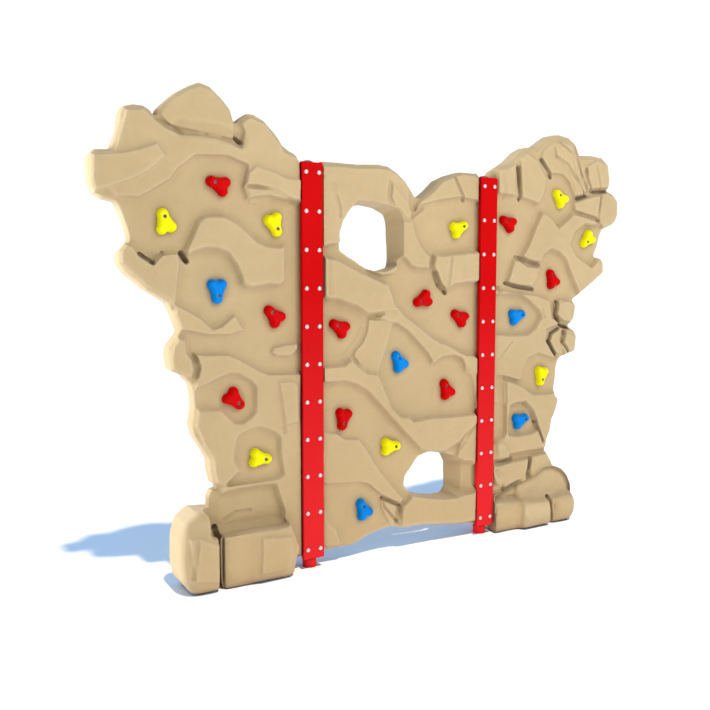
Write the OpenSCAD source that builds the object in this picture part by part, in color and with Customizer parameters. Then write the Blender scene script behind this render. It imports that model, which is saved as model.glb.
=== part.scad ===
// Free-standing rock climbing wall for a playground.
// Three hollow moulded rock panels stand side by side. Each seam between two panels
// is closed round a steel post by a front and a back channel, drawn together with
// through bolts. Three-lobed climbing holds are bolted to the front of the panels.
//
// X runs along the wall, Z is up and the climbing face looks towards -Y.
// A "level" is a distance in front of the plane that holds the two post axes.
// Outlines are [x, z] points seen from the front, with x = 0 half way between the posts.

/* [Posts and channels] */
// Distance between the axes of the two posts
post_pitch = 1180; // [1176:1:1184]
// Outer diameter of a post
post_d = 60.3; // [50:0.1:60.3]
// Wall thickness of a post
post_wall = 3.2; // [2.6:0.1:5]
// Outer diameter of the collar at the foot of a post
foot_d = 76; // [70:1:84]
// Height of the foot collar
foot_h = 50; // [30:1:55]
// Width of a cover channel
channel_w = 125; // [120:1:126]
// Depth of a cover channel, from its face to the ends of its flanges
channel_depth = 26; // [20:1:30]
// Sheet thickness of a cover channel
channel_sheet = 4; // [3:0.5:5]
// Height of the lower end of the channels above the ground
channel_foot = 58; // [56:1:70]
// Length of a cover channel
channel_len = 2102; // [2090:1:2104]

/* [Bolts] */
// Rows of bolts in a channel
bolt_rows = 11; // [11:1:11]
// Height from one row of bolts to the next
bolt_pitch = 200; // [190:1:200]
// Distance between the two columns of bolts
bolt_columns = 75; // [74:1:76]
// Thread diameter of the through bolts
bolt_d = 10; // [8:1:10]
// Diameter of a domed bolt head
bolt_head_d = 24; // [20:1:26]
// Height of a domed bolt head
bolt_head_h = 8; // [6:0.5:10]

/* [Panels] */
// Thickness of the moulded wall of a panel
skin = 7; // [6:0.5:8]
// Level of the lowest open rock face
floor_level = 24; // [20:1:26]
// Depth of the back face of the panels behind the post axes
back_level = 84; // [80:1:86]
// Radius of the rim round a panel
rim = 18; // [14:1:20]
// Depth of the largest boulder at the foot, each way from the post axes
boulder_level = 150; // [140:1:155]

/* [Holds] */
// Height of a climbing hold above the rock
hold_h = 52; // [45:1:60]
// Distance from the middle of a hold to the middle of its long lobe
hold_reach = 42; // [38:1:44]
// Diameter of a hold bolt
hold_bolt_d = 10; // [8:1:10]

/* [Hidden] */
$fn = 48;

rock = [0.84, 0.75, 0.57];
signal_red = [0.87, 0.05, 0.08];
sun_yellow = [0.98, 0.95, 0.10];
sky_blue = [0.10, 0.53, 0.92];
steel = [0.75, 0.75, 0.76];

clearance = 0.5;
face_level = 58;                                  // front face of the cover channels
tongue_level = face_level - channel_sheet;        // panel edge inside a channel
flange_level = face_level - channel_depth;        // ends of the channel flanges
seam_gap = 4;                                     // open joint between two panels
slot_reach = channel_w / 2 + 5.5;                 // far side of the slot beside a flange
channel_top = channel_foot + channel_len;
first_row = channel_foot + (channel_len - (bolt_rows - 1) * bolt_pitch) / 2;
solid_edge = 50;                                  // solid part of a panel edge, from the post axis
washer_h = 2;
nut_h = 10;
site_x = -8;                                      // brings the middle of the wall to x = 0

// ---------------------------------------------------------------- outline tools

function cross_sum(p, i = 0) =
    i >= len(p) ? 0
    : let (a = p[i], b = p[(i + 1) % len(p)]) a[0] * b[1] - b[0] * a[1] + cross_sum(p, i + 1);

function anticlockwise(p) =
    cross_sum(p) >= 0 ? p : [for (i = [len(p) - 1:-1:0]) p[i]];

function unit(v) = v / norm(v);

// The outline moved inwards by d, or outwards where d is negative
function inset(p, d) =
    let (q = anticlockwise(p), n = len(q))
    [for (i = [0:n - 1])
        let (
            u = unit(q[i] - q[(i + n - 1) % n]),
            v = unit(q[(i + 1) % n] - q[i]),
            nu = [-u[1], u[0]],
            nv = [-v[1], v[0]]
        )
        q[i] + d * (nu + nv) / max(0.7, 1 + nu * nv)
    ];

// A solid through one ring per step [level, inset], from the back to the front
module loft(outline, steps) {
    passage([for (s = steps) [s[0], inset(outline, s[1])]]);
}

// A solid through rings [level, outline] that all have the same number of points,
// from the back to the front
module passage(rings) {
    n = len(rings[0][1]);
    last = len(rings) - 1;
    points = [for (r = rings) for (p = anticlockwise(r[1])) [p[0], -r[0], p[1]]];
    sides = [
        for (k = [0:last - 1]) for (i = [0:n - 1])
            let (j = (i + 1) % n)
            [k * n + i, (k + 1) * n + i, (k + 1) * n + j, k * n + j]
    ];
    back = [for (i = [0:n - 1]) i];
    front = [for (i = [n - 1:-1:0]) last * n + i];
    polyhedron(points, concat([back], [front], sides));
}

// Steps of a solid from one level to another with both of its ends rounded by r
function rounded(back, front, r) = [
    [back, r], [back + 0.3 * r, 0.3 * r], [back + r, 0],
    [front - r, 0], [front - 0.3 * r, 0.3 * r], [front, r]
];

// ---------------------------------------------------------------- rock relief
// raised: [level, bevel, outline], sunk: [floor level, upper level, bevel, outline],
// boulders: [front level, back level, rounding, outline]

module relief(outline, raised, sunk, boulders, t) {
    difference() {
        union() {
            loft(inset(outline, t), rounded(-back_level + t, floor_level - t, rim));
            for (r = raised) if (t == 0 || r[1] >= 20)
                loft(inset(r[2], t), [[-10, 0], [max(4, r[0] - 1.6 * r[1]) - t, 0], [r[0] - t, r[1]]]);
            for (b = boulders)
                loft(inset(b[3], t), rounded(-b[1] + t, b[0] - t, b[2]));
        }
        for (s = sunk)
            loft(inset(s[3], -t), [[s[0] - t, s[2]], [s[1] - t, 0], [200, 0]]);
    }
}

// The edge of a panel that goes into the channels: side is -1 where the post is on the
// panel's left and 1 where it is on the right
module tongue(post_x, side) {
    translate([side > 0 ? post_x - solid_edge - 5 : post_x + seam_gap / 2, 0, 0])
        translate([0, -tongue_level, channel_foot + 2])
            cube([solid_edge + 5 - seam_gap / 2, 2 * tongue_level, channel_len - 6]);
}

module solid_bar(post_x) {
    translate([post_x - solid_edge, -200, 0]) cube([2 * solid_edge, 400, 3000]);
}

// Slots beside the flanges and room above and below the tongue, grown by t
module channel_room(post_x, t) {
    reach = slot_reach + t;
    tip = solid_edge + 5;
    for (side = [-1, 1], face = [-1, 1])
        translate([post_x + side * (reach + tip) / 2, face * (flange_level - t + 100), 1500])
            cube([reach - tip, 200, 3000], center = true);
    for (face = [-1, 1])
        translate([post_x, face * (tongue_level + 100), 1500])
            cube([2 * tip + 1, 200, 3000], center = true);
    translate([post_x, 0, channel_top - 4 - t + 500]) cube([2 * reach, 400, 1000], center = true);
    translate([post_x, 0, channel_foot + 2 + t - 500]) cube([2 * reach, 400, 1000], center = true);
}

module seam_bores(post_x) {
    translate([post_x, 0, -10]) cylinder(d = post_d + 2, h = 3000);
    for (row = [0:bolt_rows - 1], side = [-1, 1])
        translate([post_x + side * bolt_columns / 2, 0, first_row + row * bolt_pitch])
            rotate([90, 0, 0]) cylinder(d = bolt_d + 1, h = 400, center = true);
}

// The moulding is one skin, so it is drawn as one body before it is drilled
module one_skin() {
    resize([0, 0, 0]) children();
}

// ---------------------------------------------------------------- left panel

left_outline = [
    [-592, 60], [-592, 2166], [-680, 2185], [-725, 2215], [-750, 2265], [-790, 2310], [-840, 2355],
    [-895, 2380], [-935, 2380], [-975, 2350], [-1000, 2325], [-1020, 2390], [-1065, 2440],
    [-1125, 2490], [-1182, 2502], [-1240, 2475], [-1305, 2435], [-1350, 2395], [-1385, 2360],
    [-1400, 2320], [-1415, 2345], [-1450, 2365], [-1500, 2365], [-1550, 2350], [-1565, 2310],
    [-1575, 2235], [-1610, 2155], [-1685, 2145], [-1712, 2110], [-1712, 1990], [-1690, 1945],
    [-1650, 1920], [-1595, 1910], [-1575, 1870], [-1550, 1800], [-1535, 1735], [-1575, 1690],
    [-1590, 1675], [-1590, 1630], [-1560, 1585], [-1465, 1505], [-1360, 1440], [-1340, 1395],
    [-1305, 1300], [-1360, 1230], [-1365, 1180], [-1355, 1110], [-1290, 1080], [-1250, 1035],
    [-1240, 990], [-1235, 920], [-1250, 830], [-1240, 780], [-1205, 720], [-1165, 655],
    [-1160, 590], [-1145, 525], [-1110, 500], [-1110, 60]
];

left_raised = [
    // broad terrace over the two upper pockets, up to the crown
    [46, 22, [
        [-660, 1935], [-655, 2170], [-690, 2185], [-730, 2215], [-750, 2255], [-840, 2350],
        [-930, 2375], [-975, 2345], [-995, 2320], [-975, 2280], [-985, 2225], [-1030, 2245],
        [-1100, 2260], [-1180, 2265], [-1280, 2260], [-1345, 2280], [-1400, 2315], [-1445, 2360],
        [-1550, 2345], [-1560, 2305], [-1605, 2155], [-1705, 2110], [-1705, 1990], [-1595, 1915],
        [-1480, 1915], [-1390, 1970], [-1325, 2010], [-1290, 2060], [-1205, 2130], [-1050, 2140],
        [-960, 2110], [-975, 2045], [-980, 1995], [-955, 1930], [-905, 1950], [-830, 1960],
        [-760, 1950]
    ]],
    // tilted slab on the left ear
    [60, 16, [
        [-1705, 2125], [-1565, 2145], [-1480, 2170], [-1395, 2205], [-1340, 2130], [-1440, 2040],
        [-1515, 2000], [-1620, 1960], [-1690, 1940], [-1710, 1990]
    ]],
    // slab beside the seam
    [60, 14, [
        [-905, 2130], [-790, 2105], [-735, 2080], [-670, 2075], [-665, 1940], [-740, 1960],
        [-800, 1990], [-890, 2015], [-970, 2010], [-950, 2090]
    ]],
    // dome of the crown
    [34, 14, [
        [-1000, 2320], [-1025, 2380], [-1070, 2435], [-1125, 2480], [-1180, 2490], [-1240, 2465],
        [-1305, 2425], [-1345, 2385], [-1375, 2350], [-1390, 2320], [-1340, 2270], [-990, 2230]
    ]],
    // heart-shaped plate in the middle
    [60, 24, [
        [-1290, 1690], [-1250, 1770], [-1220, 1840], [-1180, 1870], [-1125, 1880], [-1070, 1880],
        [-1005, 1850], [-945, 1805], [-895, 1760], [-845, 1740], [-785, 1735], [-730, 1745],
        [-730, 1540], [-770, 1510], [-835, 1515], [-885, 1505], [-950, 1500], [-990, 1520],
        [-1005, 1570], [-1035, 1630], [-1065, 1670], [-1115, 1690], [-1165, 1690], [-1215, 1675],
        [-1260, 1650]
    ]],
    // shelf on the left edge
    [52, 18, [
        [-1590, 1685], [-1555, 1730], [-1515, 1720], [-1495, 1690], [-1470, 1670], [-1435, 1660],
        [-1410, 1680], [-1340, 1690], [-1300, 1690], [-1285, 1640], [-1295, 1560], [-1305, 1480],
        [-1320, 1410], [-1360, 1440], [-1465, 1505], [-1590, 1625]
    ]],
    // zigzag slab under the blue hold
    [46, 14, [
        [-1320, 1445], [-1235, 1400], [-1185, 1370], [-1135, 1320], [-1095, 1330], [-1035, 1380],
        [-1010, 1385], [-980, 1330], [-960, 1295], [-1045, 1270], [-1155, 1270], [-1245, 1290],
        [-1300, 1300], [-1335, 1390]
    ]],
    // pointed block on the left edge
    [50, 16, [
        [-1350, 1230], [-1315, 1280], [-1265, 1275], [-1260, 1200], [-1235, 1165], [-1225, 1115],
        [-1240, 1060], [-1290, 1080], [-1355, 1110], [-1360, 1180]
    ]],
    // large lower face
    [46, 20, [
        [-1255, 1200], [-1175, 1200], [-1055, 1195], [-1005, 1175], [-945, 1140], [-885, 1105],
        [-840, 1085], [-740, 1080], [-660, 1075], [-660, 65], [-1105, 65], [-1105, 500], [-1140, 525],
        [-1155, 590], [-1160, 655], [-1200, 720], [-1245, 830], [-1230, 920], [-1235, 990],
        [-1245, 1035], [-1240, 1060], [-1225, 1115], [-1235, 1165]
    ]],
    // long stone beside the seam
    [58, 12, [[-805, 1035], [-725, 1035], [-705, 1000], [-700, 800], [-765, 785], [-785, 900]]],
    // small stone beside the seam
    [42, 10, [[-830, 1180], [-810, 1210], [-705, 1230], [-700, 1195], [-730, 1150], [-790, 1155]]]
];

left_sunk = [
    // pocket of the lower red hold
    [22, 46, 22, [
        [-1260, 1010], [-1110, 1070], [-1050, 1090], [-1000, 1085], [-930, 1040], [-905, 1010],
        [-905, 880], [-930, 850], [-985, 820], [-1030, 825], [-1105, 895], [-1260, 905]
    ]],
    // pocket of the lower yellow hold
    [20, 46, 22, [
        [-1015, 770], [-935, 800], [-885, 805], [-805, 770], [-770, 735], [-770, 650], [-750, 530],
        [-790, 510], [-1090, 510], [-1010, 580], [-1040, 640], [-1035, 700]
    ]],
    // wedge above the boulders
    [12, 46, 26, [
        [-1200, 470], [-1120, 480], [-1010, 495], [-905, 500], [-800, 495], [-750, 335], [-760, 280],
        [-1200, 280]
    ]]
];

left_boulders = [
    [140, 128, 50, [
        [-1150, -2], [-1285, -2], [-1335, 70], [-1350, 160], [-1345, 290], [-1320, 370], [-1255, 420],
        [-1150, 410]
    ]],
    [boulder_level, boulder_level, 50, [
        [-735, -2], [-1105, -2], [-1130, 90], [-1120, 300], [-1085, 350], [-1000, 370], [-880, 365],
        [-790, 340], [-740, 290], [-725, 150]
    ]],
    // web that joins the two boulders behind their gap
    [40, 100, 14, [[-1200, -2], [-1060, -2], [-1060, 380], [-1200, 400]]],
    // small stone behind the left boulder
    [12, 60, 14, [[-1080, 380], [-1165, 380], [-1170, 460], [-1150, 500], [-1080, 505]]]
];

// ---------------------------------------------------------------- centre panel

centre_outline = [
    [-588, 75], [-420, 70], [-330, 70], [-280, 85], [-220, 110], [-175, 120], [-100, 135], [-50, 135],
    [20, 115], [105, 115], [200, 105], [300, 90], [400, 75], [500, 65], [588, 60], [588, 2185],
    [480, 2190], [400, 2190], [330, 2170], [250, 2135], [190, 2080], [145, 2045], [110, 2025],
    [85, 2030], [65, 2060], [25, 2110], [-35, 2155], [-95, 2185], [-160, 2190], [-300, 2180],
    [-420, 2180], [-588, 2175]
];

centre_raised = [
    // frame round the upper opening
    [52, 26, [
        [-520, 1690], [-520, 2170], [-420, 2175], [-300, 2175], [-160, 2185], [-95, 2180],
        [-35, 2150], [25, 2105], [45, 2065], [45, 1970], [65, 1905], [90, 1820], [125, 1760],
        [165, 1720], [200, 1710], [190, 1640], [190, 1600], [80, 1600], [30, 1620], [-5, 1655],
        [-60, 1690], [-200, 1660], [-330, 1700], [-400, 1740]
    ]],
    // lip at the foot of the upper opening
    [44, 14, [[-30, 1605], [-60, 1580], [-150, 1570], [-240, 1600], [-260, 1660], [-100, 1680], [-40, 1660]]],
    // slab under the upper opening
    [62, 18, [
        [-490, 1695], [-400, 1655], [-300, 1610], [-200, 1570], [-150, 1550], [-110, 1545], [-80, 1480],
        [-60, 1425], [-25, 1380], [-160, 1365], [-250, 1360], [-330, 1405], [-490, 1455]
    ]],
    // great ridge from the upper left to the middle
    [52, 24, [
        [-60, 1450], [0, 1380], [100, 1310], [200, 1240], [300, 1185], [320, 1150], [290, 1105],
        [230, 1070], [190, 1050], [150, 1120], [80, 1190], [0, 1260], [-60, 1295], [-120, 1305],
        [-200, 1345], [-120, 1405]
    ]],
    // arm of the great ridge, towards the seam
    [54, 12, [
        [250, 1200], [300, 1185], [400, 1135], [500, 1095], [520, 1080], [520, 985], [445, 990],
        [435, 1035], [405, 1090], [350, 1110], [260, 1105]
    ]],
    // leg of the great ridge, beside the seam
    [48, 12, [[440, 1010], [455, 950], [470, 850], [480, 770], [520, 780], [520, 1010]]],
    // second ridge, down to the lower opening
    [56, 24, [
        [-520, 1105], [-400, 1110], [-345, 1150], [-310, 1110], [-240, 1060], [-165, 1050], [-120, 960],
        [-70, 850], [-20, 800], [40, 790], [70, 765], [200, 775], [330, 770], [480, 770], [515, 750],
        [515, 700], [410, 580], [290, 530], [180, 540], [110, 560], [0, 665], [-100, 765], [-200, 870],
        [-260, 930], [-330, 970], [-400, 990], [-520, 985]
    ]],
    // swell at the left of the second ridge
    [40, 22, [
        [-250, 1360], [-260, 1280], [-290, 1220], [-340, 1175], [-350, 1130], [-270, 1040], [-160, 1020],
        [-105, 1150], [-50, 1330], [-150, 1350]
    ]],
    // low plate at the lower left
    [42, 18, [
        [-520, 780], [-380, 700], [-290, 690], [-230, 620], [-180, 540], [-130, 470], [-80, 410],
        [0, 320], [30, 300], [-20, 260], [-165, 335], [-180, 350], [-240, 400], [-300, 420],
        [-430, 425], [-520, 450]
    ]],
    // beam under the lower opening
    [54, 22, [
        [-50, 145], [-20, 265], [30, 300], [70, 380], [180, 360], [300, 340], [400, 330], [470, 320],
        [520, 300], [520, 70], [400, 80], [300, 95], [200, 110], [105, 120], [20, 120]
    ]],
    // lower left corner
    [44, 16, [[-520, 105], [-520, 420], [-490, 395], [-460, 280], [-400, 115], [-390, 75]]],
    // cracked stone beside the lower blue hold
    [38, 10, [[-160, 330], [-35, 265], [-55, 145], [-100, 165], [-150, 260]]],
    // upper right frame
    [48, 18, [
        [520, 2000], [520, 2180], [400, 2185], [330, 2165], [250, 2130], [190, 2075], [145, 2040],
        [110, 2020], [85, 2000], [65, 1930], [115, 1965], [250, 2000], [400, 2025], [445, 2015]
    ]],
    // block beside the seam
    [60, 16, [
        [200, 1710], [260, 1705], [400, 1720], [500, 1735], [520, 1705], [520, 1545], [420, 1530],
        [350, 1520], [305, 1495], [270, 1490], [230, 1540], [200, 1600], [185, 1640]
    ]],
    // face at the right of the lower opening
    [46, 14, [[400, 590], [500, 715], [520, 760], [520, 440], [480, 430], [370, 480]]]
];

centre_sunk = [
    // shallow pocket of the upper left red hold
    [18, 60, 16, [
        [-600, 1465], [-500, 1455], [-400, 1430], [-320, 1400], [-260, 1360], [-245, 1330],
        [-265, 1280], [-295, 1220], [-345, 1170], [-365, 1140], [-400, 1120], [-600, 1110]
    ]]
];

upper_opening_front = [
    [-410, 1710], [-420, 1800], [-400, 1865], [-365, 1920], [-310, 1980], [-210, 1980], [-110, 1965],
    [-45, 1945], [-10, 1890], [-10, 1690], [-50, 1640], [-130, 1600], [-215, 1605], [-285, 1640],
    [-370, 1685]
];
upper_opening_back = [
    [-395, 1720], [-400, 1800], [-385, 1855], [-350, 1905], [-300, 1950], [-240, 1965], [-150, 1950],
    [-80, 1920], [-65, 1880], [-55, 1690], [-60, 1630], [-130, 1610], [-210, 1615], [-285, 1645],
    [-360, 1695]
];
lower_opening_front = [
    [20, 425], [35, 445], [110, 535], [180, 555], [285, 545], [400, 500], [490, 455], [495, 270],
    [400, 255], [300, 260], [175, 280], [60, 310], [10, 370]
];
lower_opening_back = [
    [35, 425], [50, 440], [120, 510], [180, 530], [260, 525], [330, 510], [360, 460], [365, 310],
    [335, 275], [260, 275], [165, 290], [80, 320], [30, 370]
];

// ---------------------------------------------------------------- right panel

right_outline = [
    [592, 60], [1110, 60], [1120, 500], [1125, 530], [1150, 585], [1165, 660], [1195, 715],
    [1225, 795], [1180, 830], [1185, 860], [1195, 925], [1200, 990], [1215, 1040], [1250, 1070],
    [1345, 1090], [1360, 1200], [1335, 1245], [1300, 1265], [1335, 1310], [1350, 1390], [1335, 1425],
    [1350, 1440], [1465, 1510], [1600, 1595], [1590, 1705], [1520, 1720], [1550, 1780], [1565, 1830],
    [1590, 1885], [1700, 1930], [1728, 1990], [1720, 2085], [1680, 2130], [1620, 2150], [1630, 2170],
    [1640, 2210], [1620, 2330], [1570, 2365], [1480, 2370], [1400, 2365], [1370, 2360], [1335, 2425],
    [1270, 2465], [1185, 2475], [1115, 2465], [1040, 2420], [980, 2380], [910, 2375], [845, 2340],
    [780, 2285], [700, 2235], [635, 2200], [592, 2168]
];

right_raised = [
    // upper face with the crown
    [34, 24, [
        [660, 2065], [655, 2200], [700, 2230], [780, 2280], [845, 2335], [910, 2370], [980, 2370],
        [1040, 2415], [1115, 2460], [1185, 2470], [1270, 2460], [1335, 2420], [1370, 2355],
        [1480, 2365], [1615, 2320], [1635, 2210], [1620, 2155], [1300, 2080], [1250, 2170],
        [1200, 2205], [1130, 2215], [1070, 2190], [1040, 2060], [1000, 2015], [860, 2045]
    ]],
    // first and second crown blocks
    [50, 14, [[700, 2065], [700, 2220], [795, 2265], [815, 2265], [815, 2060]]],
    [54, 18, [
        [830, 2055], [830, 2300], [895, 2345], [985, 2305], [1030, 2240], [1070, 2190], [1055, 2110],
        [1020, 2040], [1000, 2015], [900, 2040]
    ]],
    // fan of curved strata on the crown
    [44, 14, [
        [1000, 2315], [1030, 2370], [1105, 2425], [1180, 2450], [1265, 2440], [1325, 2355],
        [1360, 2240], [1390, 2105], [1300, 2080], [1250, 2170], [1200, 2210], [1130, 2215],
        [1075, 2200]
    ]],
    [52, 10, [
        [1105, 2400], [1180, 2435], [1255, 2420], [1310, 2330], [1345, 2205], [1385, 2105],
        [1320, 2090], [1280, 2170], [1240, 2245], [1175, 2295], [1115, 2335]
    ]],
    [60, 8, [
        [1145, 2425], [1250, 2415], [1300, 2325], [1335, 2205], [1375, 2110], [1350, 2100],
        [1305, 2215], [1265, 2325], [1225, 2365]
    ]],
    // block at the upper right
    [46, 18, [
        [1400, 2275], [1400, 2130], [1625, 2155], [1635, 2210], [1615, 2325], [1500, 2350],
        [1405, 2305]
    ]],
    // arm at the right
    [52, 18, [
        [1280, 2060], [1395, 2095], [1590, 2140], [1675, 2125], [1715, 2085], [1720, 1990],
        [1695, 1935], [1575, 1890], [1495, 1955], [1300, 1990]
    ]],
    // crossed plate
    [56, 24, [
        [1020, 2000], [1065, 1985], [1120, 1955], [1165, 1910], [1210, 1940], [1290, 2000],
        [1490, 1965], [1550, 1910], [1400, 1905], [1320, 1850], [1285, 1790], [1335, 1730],
        [1465, 1665], [1520, 1715], [1585, 1700], [1595, 1600], [1465, 1515], [1355, 1445],
        [1315, 1510], [1260, 1600], [1220, 1680], [1165, 1720], [1110, 1735], [1065, 1710],
        [1030, 1650], [920, 1660], [840, 1695], [900, 1780], [960, 1900]
    ]],
    // block under the upper pocket
    [50, 16, [
        [800, 1690], [845, 1690], [920, 1655], [1030, 1645], [1010, 1560], [960, 1505], [800, 1520],
        [740, 1535], [770, 1610]
    ]],
    // band over the long pocket
    [44, 18, [
        [660, 1525], [700, 1515], [900, 1490], [1000, 1480], [1130, 1440], [1145, 1330], [1215, 1280],
        [1100, 1240], [1095, 1180], [1170, 1085], [1210, 1045], [1020, 1085], [950, 1060], [905, 1000],
        [905, 940], [860, 920], [730, 960], [740, 800], [660, 780]
    ]],
    // stones on the right edge
    [50, 16, [
        [1150, 1420], [1195, 1450], [1330, 1425], [1345, 1390], [1330, 1310], [1300, 1275],
        [1210, 1290], [1145, 1330]
    ]],
    [44, 14, [
        [1165, 1080], [1120, 1130], [1095, 1190], [1130, 1240], [1200, 1270], [1235, 1250],
        [1215, 1185], [1240, 1080]
    ]],
    [52, 14, [
        [1250, 1250], [1330, 1240], [1355, 1200], [1340, 1095], [1245, 1070], [1210, 1125],
        [1215, 1195]
    ]],
    // lower right face
    [52, 22, [
        [730, 965], [860, 925], [905, 905], [940, 880], [990, 855], [1095, 850], [1180, 855],
        [1185, 820], [1215, 795], [1190, 715], [1160, 660], [1145, 585], [1120, 535], [1105, 470],
        [700, 455], [700, 560], [745, 620], [740, 800]
    ]],
    // brick courses
    [46, 10, [[660, 560], [735, 560], [800, 455], [670, 440]]],
    [56, 12, [[670, 395], [690, 425], [955, 440], [940, 300], [860, 295], [740, 260], [700, 330]]],
    [52, 14, [[965, 450], [1110, 460], [1155, 400], [1175, 340], [1150, 320], [950, 300]]],
    // face behind the lower boulders
    [40, 16, [[665, 65], [660, 420], [700, 300], [860, 290], [1105, 300], [1100, 65]]]
];

right_sunk = [
    // long pocket of the blue hold
    [16, 46, 22, [
        [640, 1470], [770, 1480], [880, 1470], [950, 1430], [1020, 1380], [1060, 1320],
        [1030, 1295], [1000, 1250], [930, 1210], [820, 1210], [640, 1225]
    ]],
    // pocket of the lower blue hold
    [20, 56, 22, [
        [790, 790], [850, 805], [915, 800], [980, 740], [1010, 690], [1040, 600], [960, 580],
        [850, 575], [775, 590], [765, 690]
    ]]
];

right_boulders = [
    [120, 120, 46, [
        [670, -2], [1120, -2], [1130, 60], [1120, 150], [1080, 170], [860, 175], [850, 205],
        [760, 205], [690, 160]
    ]],
    [126, 126, 48, [
        [1110, -2], [1270, -2], [1310, 50], [1320, 120], [1300, 175], [1200, 190], [1120, 180]
    ]],
    [108, 130, 46, [
        [675, 110], [1315, 110], [1310, 225], [1275, 290], [1225, 340], [1150, 370], [1070, 370],
        [1000, 330], [860, 290], [760, 255], [690, 230]
    ]]
];

// ---------------------------------------------------------------- moulded panels

module left_panel() {
    color(rock) difference() {
        one_skin() difference() {
            union() {
                relief(left_outline, left_raised, left_sunk, left_boulders, 0);
                tongue(-post_pitch / 2, 1);
            }
            channel_room(-post_pitch / 2, 0);
            difference() {
                relief(left_outline, left_raised, left_sunk, left_boulders, skin);
                solid_bar(-post_pitch / 2);
                channel_room(-post_pitch / 2, skin);
                hold_bosses(-5000, -post_pitch / 2);
                ground(skin);
            }
            ground(0);
            drain(-1000);
        }
        seam_bores(-post_pitch / 2);
        hold_sockets(-5000, -post_pitch / 2);
    }
}

module centre_panel() {
    color(rock) difference() {
        one_skin() difference() {
            union() {
                difference() {
                    relief(centre_outline, centre_raised, centre_sunk, [], 0);
                    openings(0);
                }
                tongue(-post_pitch / 2, -1);
                tongue(post_pitch / 2, 1);
            }
            channel_room(-post_pitch / 2, 0);
            channel_room(post_pitch / 2, 0);
            difference() {
                relief(centre_outline, centre_raised, centre_sunk, [], skin);
                openings(skin);
                solid_bar(-post_pitch / 2);
                solid_bar(post_pitch / 2);
                channel_room(-post_pitch / 2, skin);
                channel_room(post_pitch / 2, skin);
                hold_bosses(-post_pitch / 2, post_pitch / 2);
            }
            drain(-100);
        }
        seam_bores(-post_pitch / 2);
        seam_bores(post_pitch / 2);
        hold_sockets(-post_pitch / 2, post_pitch / 2);
    }
}

module right_panel() {
    color(rock) difference() {
        one_skin() difference() {
            union() {
                relief(right_outline, right_raised, right_sunk, right_boulders, 0);
                tongue(post_pitch / 2, -1);
            }
            channel_room(post_pitch / 2, 0);
            difference() {
                relief(right_outline, right_raised, right_sunk, right_boulders, skin);
                solid_bar(post_pitch / 2);
                channel_room(post_pitch / 2, skin);
                hold_bosses(post_pitch / 2, 5000);
                ground(skin);
            }
            ground(0);
            drain(1000);
        }
        seam_bores(post_pitch / 2);
        hold_sockets(post_pitch / 2, 5000);
    }
}

module openings(t) {
    passage([
        [-back_level - 60, inset(upper_opening_back, -t - 12)],
        [-back_level + 10, inset(upper_opening_back, -t)],
        [58, inset(upper_opening_front, -t)],
        [120, inset(upper_opening_front, -t - 8)]
    ]);
    passage([
        [-back_level - 60, inset(lower_opening_back, -t - 12)],
        [-back_level + 10, inset(lower_opening_back, -t)],
        [56, inset(lower_opening_front, -t)],
        [120, inset(lower_opening_front, -t - 4)]
    ]);
}

// Drain hole in the underside of a panel
module drain(x) {
    translate([x, 30, -10]) cylinder(d = 20, h = 260, $fn = 16);
}

// Everything below height z
module ground(z) {
    translate([-3000, -500, z - 1000]) cube([6000, 1000, 1000]);
}

// ---------------------------------------------------------------- posts and channels

module post(x) {
    translate([x, 0, 0]) difference() {
        cylinder(d = post_d, h = channel_top + 4);
        translate([0, 0, -1]) cylinder(d = post_d - 2 * post_wall, h = channel_top + 10);
    }
}

// Welded collar round the foot of a post
module post_foot(x) {
    translate([x, 0, 0]) rotate_extrude()
        polygon([
            [post_d / 2, 0], [foot_d / 2, 0], [foot_d / 2, foot_h - 4], [foot_d / 2 - 4, foot_h],
            [post_d / 2, foot_h]
        ]);
}

// Domed cap with a spigot inside the tube
module post_cap(x) {
    spigot = post_d / 2 - post_wall - clearance;
    translate([x, 0, channel_top + 4]) rotate_extrude()
        polygon([
            [0, -25], [spigot, -25], [spigot, 0], [post_d / 2, 0], [post_d / 2, 3],
            [post_d / 2 - 6, 8], [post_d / 2 - 16, 11], [0, 12]
        ]);
}

// A folded channel: face is -1 for the front and 1 for the back
module channel(x, face) {
    mirror([0, face > 0 ? 1 : 0, 0]) translate([x, 0, channel_foot]) difference() {
        linear_extrude(channel_len) polygon(concat(
            [[-channel_w / 2, -flange_level], [-channel_w / 2, -face_level + 5],
             [-channel_w / 2 + 1.5, -face_level + 1.5], [-channel_w / 2 + 5, -face_level]],
            [[channel_w / 2 - 5, -face_level], [channel_w / 2 - 1.5, -face_level + 1.5],
             [channel_w / 2, -face_level + 5], [channel_w / 2, -flange_level]],
            [[channel_w / 2 - channel_sheet, -flange_level], [channel_w / 2 - channel_sheet, -tongue_level],
             [-channel_w / 2 + channel_sheet, -tongue_level], [-channel_w / 2 + channel_sheet, -flange_level]]
        ));
        for (row = [0:bolt_rows - 1], side = [-1, 1])
            translate([side * bolt_columns / 2, -face_level, first_row - channel_foot + row * bolt_pitch])
                rotate([90, 0, 0]) cylinder(d = bolt_d + 1, h = 20, center = true);
    }
}

// Puts its children at every bolt of a seam, with z towards the front
module at_seam_bolts(x) {
    for (row = [0:bolt_rows - 1], side = [-1, 1])
        translate([x + side * bolt_columns / 2, 0, first_row + row * bolt_pitch])
            rotate([90, 0, 0]) children();
}

module dome_head(d, h) {
    rotate_extrude() polygon([
        [0, 0], [d / 2, 0], [d / 2, 1.5], [0.46 * d, 0.45 * h], [0.38 * d, 0.7 * h],
        [0.25 * d, 0.9 * h], [0.1 * d, h], [0, h]
    ]);
}

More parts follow.
